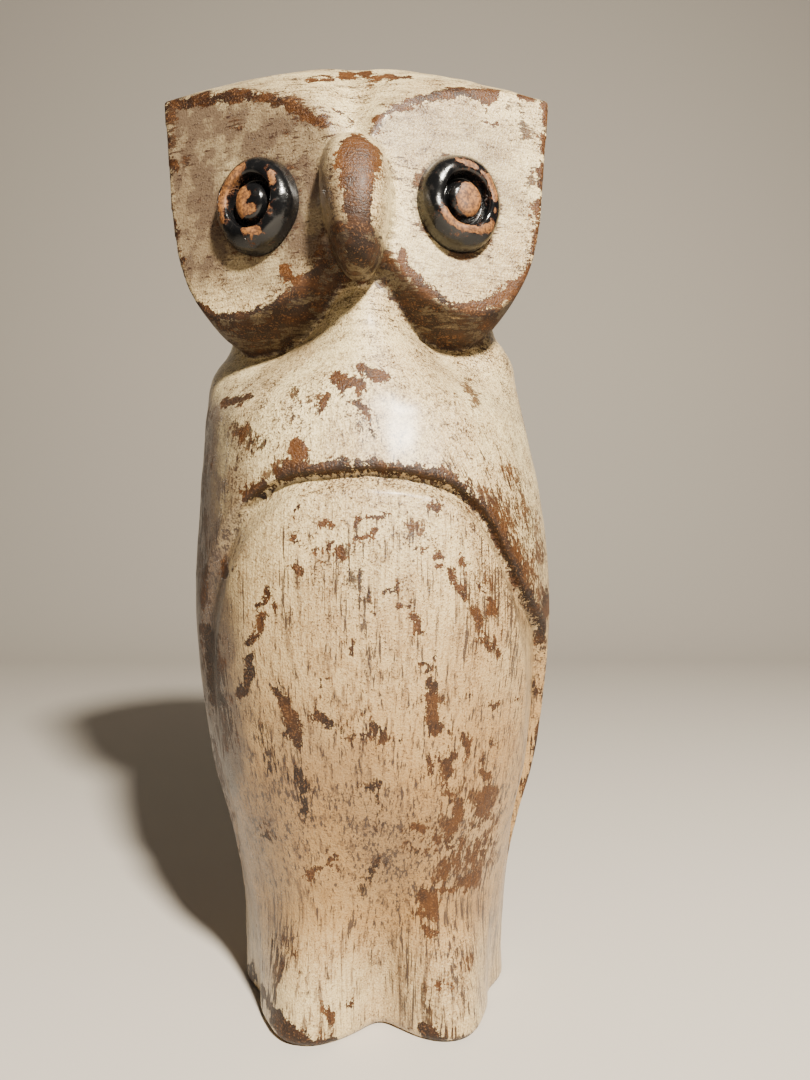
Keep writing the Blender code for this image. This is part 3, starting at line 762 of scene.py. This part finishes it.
def paint_wear_and_shade(skin, from_ridge, from_hollow, on_body):
    """Paints the wear, grime and painted shade on the skin's points, which the finish then breaks up."""
    points = skin.points
    normals = skin.outward()
    angle, level, _ = round_log(points)
    smoothed = np.stack([skin.blur(column, 12) for column in points.T], axis=1)
    swell = ((points - smoothed) * normals).sum(axis=1)
    raised = ease((swell - 0.02) / 0.16)
    sunk = ease((-swell - 0.03) / 0.25)

    # The brush marks, on what the photograph's camera sees. Soil, and the painted shade with patina, are how
    # strongly a mark covers, times its tone.
    seen, facing = seen_in_picture(points, normals)
    behind = 1 - facing
    bare, bare_shade = brush(seen, bare_marks, soft=3.4)
    thin, thin_shade = brush(seen, thin_marks, soft=7, crumbs=0)
    soil = np.prod(brush(seen, soil_marks, soft=18, crumbs=0), axis=0) * facing
    shade_and_patina = np.prod(brush(seen, shade_and_patina_marks, soft=24, crumbs=0), axis=0) * facing
    bare *= facing
    thin *= facing

    # The rubbed lips of the chest, the wings and the tail, the rubbed rims, and the discs' undersides, rubbed
    # patchy and painted dark as painted shade.
    inside, outside = belly.read(angle, level, belly.inside, belly.outside)
    in_arch = on_body * (level < head_start) * (level > 11)
    above = 1.15 + 0.45 * waves(points, 3.2, 21) + 0.3 * waves(points, 1.1, 22)
    lip = ease((inside + above) / 0.7) * ease((0.5 - inside) / 0.45)
    crisp_arch = ease((angle + 40) / 12) * ease((level - 30) / 16)
    lip = skin.blur(lip * in_arch * crisp_arch, 2)
    tail_inside, = tail.read(angle, level, tail.inside)
    tail_lip = ease((tail_inside + 0.6) / 0.5) * ease((0.6 - tail_inside) / 0.4)
    tail_lip *= on_body * (np.abs(angle) > 95)
    rim = ease((1.0 - from_ridge) / 0.9)
    patchy = ease(waves(points, 7.0, 31) + 0.35)
    under_disc = (1 - on_body) * ease((-normals[:, 2] - 0.1) / 0.3) * ease((78 - level) / 2)
    under_disc *= points[:, 1] < 5

    bare = np.maximum.reduce([
        bare, 0.95 * lip, rim * (0.25 + 0.45 * patchy * behind), tail_lip * (0.35 + 0.35 * patchy),
        under_disc * (0.36 + 0.22 * waves(points, 3.0, 33) + 0.2 * waves(points, 1.3, 34)),
        raised * patchy * behind * 0.6])
    thin = np.maximum.reduce([
        thin, 0.5 * rim, 0.6 * under_disc,
        0.45 * ease((waves(points * (1, 1, 0.4), 9.0, 41) - 0.35) / 0.6) * behind])
    shade = np.where(bare >= thin * 0.6, bare_shade, thin_shade)
    lip_shade = (0.22 + 0.15 * ease((-inside - 0.4) / 0.5)
                 + 0.25 * ease((-inside - 0.5) / 0.5) * ease((angle - 10) / 15))
    shade = np.where(lip > 0.2, lip_shade, shade)
    # Under the discs the wood is painted darkest: painted shade.
    shade = np.where(under_disc * (bare_shade == plain_tone) > 0.3, 0.04, shade)

    # Grime and painted shade: darker in the hollows, at the foot of the cove's wall under its lip, under the
    # discs and round the knobs' seats, where shade falls.
    in_corners = 0.8 * ease((0.9 - from_hollow) / 0.9)
    grime_and_shade = np.maximum(sunk * (1 - 0.7 * on_body), in_corners * (1 - 0.8 * on_body))
    cove = ease(inside / 0.3) * ease(outside / 0.4) * in_arch
    foot_of_wall = ease((0.75 - inside) / 0.3) * (0.15 + 0.85 * crisp_arch)
    grime_and_shade = np.maximum.reduce([grime_and_shade, cove * 0.65 * foot_of_wall, under_disc])
    soil = soil + cove * 0.25 * crisp_arch
    for _, side, knob_level in eyes:
        ring, out, _ = on_disc(points, side, knob_level)
        grime_and_shade = np.maximum(grime_and_shade, 0.8 * ease((seat_edge - ring) / 0.1) * (np.abs(out) < 1))

    # The paint was brushed across the head, and down the right wing at a slant.
    brushed = ease((level - 62) / 8)
    slant = ease((angle - 14) / 12) * ease((95 - angle) / 20) * ease((level - 36) / 8)
    slant *= ease((64 - level) / 6)
    slant *= on_body * ease((0.4 - inside) / 1.5)
    for name, values, rounds in (
            ("bare", bare, 1), ("thin", thin, 1), ("shade", shade, 2), ("grime_and_shade", grime_and_shade, 3),
            ("brushed", brushed, 0), ("slant", slant, 4), ("soil", soil, 6), ("shade_and_patina", shade_and_patina, 10)):
        keep(skin.mesh, name, skin.blur(values, rounds))


def make_eye(name, side, level, seed):
    """A turned knob: a worn button in a groove, inside a broad rounded ring, a little uneven by hand."""
    # Reach from the middle and stand off the disc, from the button's top to the seat.
    rim = eye_width / 2
    outline = ((0, 0.0088), (0.0034, 0.0087), (0.0055, 0.0081), (0.0066, 0.0067), (0.007, 0.005),
               (0.0076, 0.004), (0.0084, 0.004), (0.0089, 0.0052), (0.0093, 0.0073), (0.0098, 0.0086),
               (0.0108, 0.0091), (0.0123, 0.0089), (0.0138, 0.0081), (0.0152, 0.0066), (0.0163, 0.0047),
               (rim - 0.0004, 0.0024), (rim, 0.0004), (rim - 0.0002, -0.0016))
    rows, columns = 64, 112
    places = np.linspace(0, len(outline) - 1, rows)
    reach, stand = (curve(list(enumerate(column)), places) for column in zip(*outline))
    turns = np.linspace(0, 2 * np.pi, columns, endpoint=False)
    flat = np.stack([np.outer(reach, np.sin(turns)), np.outer(reach, np.cos(turns)),
                     np.outer(stand, np.ones(columns))], axis=-1).reshape(-1, 3)
    millimetres = flat * 1000
    uneven, dent = 0.012, 0.0003
    flat[:, :2] *= (1 - uneven + uneven * waves(millimetres, 16, seed))[:, None]
    high = np.clip(flat[:, 2] / eye_stand, 0, 1)
    flat[:, 2] -= high * dent * (1 + waves(millimetres, 9, seed + 1))
    flat[:, 1] *= eye_height / eye_width

    mesh = bpy.data.meshes.new(name + "_knob")
    shape = bmesh.new()
    rings = [[shape.verts.new(place) for place in ring] for ring in flat.reshape(rows, columns, 3)]
    for inner, outer in zip(rings, rings[1:]):
        for column in range(columns):
            after = (column + 1) % columns
            shape.faces.new((inner[column], outer[column], outer[after], inner[after]))
    shape.faces.new(rings[-1])
    bmesh.ops.remove_doubles(shape, verts=shape.verts, dist=1e-6)
    bmesh.ops.recalc_face_normals(shape, faces=shape.faces)
    shape.to_mesh(mesh)
    shape.free()

    places = np.array([corner.co for corner in mesh.vertices])
    flat = places[:, :2] * (1000, 1000 * eye_width / eye_height)
    bare, _ = brush(flat, [(0, *mark) for mark in eye_wear[name]], soft=0.8)
    keep(mesh, "bare", bare)
    lean = math.copysign(1, side)
    middle = Vector(knob_middle(side, level)) * hundredth
    mesh.transform(Matrix.Translation(middle) @ Matrix.Rotation(math.atan(face_slope) * lean, 4, "Z")
                   @ Matrix.Rotation(math.pi / 2, 4, "X"))
    return mesh


# Finishes

def rubbed_cream_paint():
    """Cream paint brushed over dark wood, rubbed through along its edges and grain, then waxed."""
    finish = Finish("rubbed cream paint")
    noise, step, mix = finish.noise, finish.step, finish.mix
    bare, thin, shade, grime_and_shade, brushed, slant, soil, shade_and_patina = (finish.painted(name) for name in (
        "bare", "thin", "shade", "grime_and_shade", "brushed", "slant", "soil", "shade_and_patina"))
    up = finish.node("ShaderNodeSeparateXYZ", inputs={"Vector": finish.places}, output=2)
    low = step(up, 0.25, 0.09)
    foot = step(up, 0.05, 0.015)

    # Clouds, blotches, crumbs, specks, cracks and hairlines, then the run of the brush and the grain.
    region = noise(20, 3, 0.5)
    blotch = noise(95, 5, 0.6, shift=3)
    fine = noise(480, 5, 0.65, shift=5)
    strokes = noise(300, 5, 0.65, (0.22, 0.5, 1), shift=19, distortion=0.8)
    threads = noise(420, 5, 0.65, (1, 1, 0.06), shift=23)
    fine = fine + (strokes - fine) * brushed * 0.8
    fine = fine + (threads - fine) * low * 0.8
    speck = noise(1300, 2, 0.6, shift=7)
    crack = step(maths("ABSOLUTE", noise(190, 4, 0.6, shift=21)), 0.16, 0.02)
    hair = step(maths("ABSOLUTE", noise(210, 3, 0.6, (1, 1, 0.07), shift=25)), 0.14, 0.02)
    hair = hair * step(region + blotch + fine * 0.6, -0.6, 1.6) * (1 - brushed)
    grit = noise(2300, 1, 0.5, shift=17)
    upright = noise(1100, 4, 0.6, (1, 1, 0.055), shift=9)
    across = noise(1000, 4, 0.6, (0.08, 0.35, 1), shift=11, distortion=0.3)
    slanted = noise(1100, 4, 0.6, (1, 1, 0.06), shift=15, turn=0.51)
    grain = upright + (slanted - upright) * slant
    grain = grain + (across - grain) * brushed
    long_grain = noise(330, 3, 0.6, (1, 1, 0.05), shift=13)
    along = low * (0.8 - foot * 0.4) + slant * 0.6 - brushed * 0.1
    flake = finish.flakes(560)

    # Where the paint is gone: chips with crumbled edges, and more where it is rubbed thin.
    crumbs = fine * 0.15 + blotch * 0.1 + speck * 0.08 + grain * along * 0.18
    gone = step(bare + crumbs * 0.7 + (flake - 0.5) * (0.4 - grime_and_shade * 0.3), 0.5, 0.54)
    worn = thin * 2.6 + region * 0.6 + blotch * 0.6 + soil * 1.5 - foot * 0.9
    streaks = step(grain * 1.2 + long_grain * 0.5 + worn * 0.55 + along * 1.3, 2.45, 2.7)
    bits = speck + grit * 0.4 + fine * 0.5
    specks = step(bits + worn * (0.6 - low * 0.3) - low * 0.7 - brushed * 0.3, 1.75, 2.05)
    rubbed = step(thin * 3.4 + grain * (along * 0.7 + 0.5) + fine * 0.8 + blotch * 0.5, 1.9, 2.3)
    rubbed = rubbed * step(thin, 0.05, 0.3)

    # The wood, then the paint in layers: how much of each over those before it, and its colour.
    wood = mix(step(shade * 2 + blotch * 0.25, 0.1, 1.6), colour(34, 19, 9), colour(78, 45, 14))
    wood = mix(step(grain, 0, 2) * 0.55, wood, colour(34, 18, 11))
    wood = mix(step(speck + fine * 0.5, 1.2, 2.2) * 0.35, wood, colour(150, 104, 62))
    paint = mix(step(region, -1.2, 1.2), colour(224, 202, 150), colour(200, 174, 126))
    marks = maths("MAXIMUM", streaks, specks) * 0.88
    for share, tint in (
            (step(blotch, -0.8, 1.8) * 0.45, (156, 128, 88)),
            (step(fine, -0.2, 1.8) * 0.6, (116, 92, 62)),
            (step(speck, -0.6, -1.6) * 0.4, (236, 220, 180)),
            (step(grain, 0.2, 1.6) * 0.4, (122, 98, 70)),
            (step(grit + speck - low * 0.8, 0.2, 1.8) * 0.5, (108, 84, 60)),
            # Low down the paint turns darker tan, less on the feet: painted warm bounce light and dimmer
            # light.
            (low * 0.78 * (1 - 0.65 * foot), (142, 98, 38)),
            # Painted shade, mostly on the left side and low down, with some patina from handling.
            (shade_and_patina * (0.7 + step(blotch, -1.0, 1.0) * 0.2), (90, 74, 58)),
            (step(worn, 0.6, 3.2) * 0.3, (120, 88, 60)),
            (crack * step(speck + blotch, -0.6, 1.0) * 0.5, (80, 60, 44)),
            (hair * (0.35 + low * 0.3), (84, 62, 44)),
            (low * step(threads + grain * 0.6, 0.5, 2.0) * 0.55, (74, 52, 36)),
            # Grime and painted shade in the hollows, under the discs and round the knobs.
            (grime_and_shade * step(fine + grime_and_shade * 3.5, 0, 2.2) * 0.88, (46, 33, 23)),
            (marks, (50, 32, 24))):
        paint = mix(share, paint, colour(*tint))
    open_wood = maths("MAXIMUM", gone, rubbed * 0.85)
    surface = mix(open_wood, paint, wood)

    relief = (1 - gone) + grain * 0.05 + fine * 0.1 + speck * 0.1 - marks * 0.4
    rough = 0.3 + fine * 0.03 + open_wood * 0.16 + grime_and_shade * 0.3
    wax = 0.55 - maths("MAXIMUM", open_wood, grime_and_shade) * 0.5
    normal = finish.bump(relief, depth=0.0003)
    return finish.wear(Base_Color=surface, Roughness=rough, Normal=normal, Specular_IOR_Level=0.35,
                       Coat_Weight=wax, Coat_Roughness=0.32)


def chipped_black_gloss():
    """Black gloss paint on a turned knob, chipped to the wood."""
    finish = Finish("chipped black gloss")
    bare = finish.painted("bare")
    blotch = finish.noise(260, 4, 0.6)
    fine = finish.noise(900, 4, 0.6, shift=3)
    flake = finish.flakes(900)
    edge = bare + fine * 0.1 + blotch * 0.1 + (flake - 0.5) * 0.35
    gone = finish.step(edge, 0.52, 0.57)
    border = finish.step(edge, 0.36, 0.52)
    wood = finish.mix(finish.step(fine, -1.5, 1.5), colour(130, 84, 38), colour(72, 42, 17))
    black = finish.mix(finish.step(blotch, 0, 2.5) * 0.5, colour(12, 12, 13), colour(34, 32, 31))
    surface = finish.mix(border, black, colour(58, 32, 20))
    surface = finish.mix(gone, surface, wood)
    rough = 0.16 + finish.step(blotch, -0.5, 2.5) * 0.16 + gone * 0.45
    normal = finish.bump((1 - gone) + fine * 0.02 + blotch * 0.03, depth=0.00022)
    return finish.wear(Base_Color=surface, Roughness=rough, Normal=normal)


def plain_pale():
    """Matt pale floor and backdrop."""
    finish = Finish("plain pale")
    return finish.wear(Base_Color=(0.54, 0.49, 0.43, 1), Roughness=0.9)


# The scene

def add_piece(mesh, name, material):
    """A finished piece at the origin, shaded smooth."""
    mesh.shade_smooth()
    mesh.materials.clear()
    mesh.materials.append(material)
    return add(name, mesh)


def make_stage():
    """A pale floor that runs up behind in a sweep."""
    front, bend, bend_radius, wall_top, half_width = -2.5, 0.9, 0.6, 3, 9
    mesh = bpy.data.meshes.new("floor")
    shape = bmesh.new()
    line = [(front, 0), (bend, 0)]
    line += [(bend + bend_radius * math.sin(turn), bend_radius - bend_radius * math.cos(turn))
             for turn in np.linspace(0.1, math.pi / 2, 14)]
    line.append((bend + bend_radius, wall_top))
    sides = (-half_width, half_width)
    rows = [[shape.verts.new((side, depth, level)) for depth, level in line] for side in sides]
    for index in range(len(line) - 1):
        shape.faces.new((rows[0][index], rows[1][index], rows[1][index + 1], rows[0][index + 1]))
    shape.to_mesh(mesh)
    shape.free()
    add_piece(mesh, "floor", plain_pale())


def make_light():
    """One small warm lamp, high up in front on the right, aimed at the chest."""
    spot = Vector((0.38, -0.92, 0.98))
    target = Vector((0, -0.03, 0.22))
    lamp = bpy.data.lights.new("key", "AREA")
    lamp.shape = "DISK"
    lamp.size = 0.13
    lamp.energy = 72
    lamp.color = (1.0, 0.94, 0.82)
    holder = add("key", lamp)
    holder.location = spot
    holder.rotation_euler = (target - spot).to_track_quat("-Z", "Y").to_euler()


def make_camera():
    """The photograph's own level view."""
    sensor = 36
    lens = bpy.data.cameras.new("camera")
    lens.lens = sensor * picture_reach / picture_height
    lens.sensor_width = sensor
    lens.shift_y = (picture_middle[1] - picture_height / 2) / picture_height
    lens.clip_start = 0.01
    camera = add("camera", lens)
    camera.location = camera_place
    camera.rotation_euler = (math.pi / 2, 0, 0)
    bpy.context.scene.camera = camera


def make_world():
    """Even pale light from all round."""
    world = bpy.data.worlds.new("studio")
    world.use_nodes = True
    background = world.node_tree.nodes["Background"]
    background.inputs["Color"].default_value = (1.0, 0.97, 0.92, 1)
    background.inputs["Strength"].default_value = 0.06
    bpy.context.scene.world = world


owl = add_piece(make_owl(), "carved_owl", rubbed_cream_paint())
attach(owl, "root")
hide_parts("owl")
gloss = chipped_black_gloss()
for (name, side, level), seed in zip(eyes, (51, 61)):
    knob = add_piece(make_eye(name, side, level, seed), name + "_knob", gloss)
    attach(knob, "root")
    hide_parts(name)

make_stage()
make_world()
make_camera()
make_light()
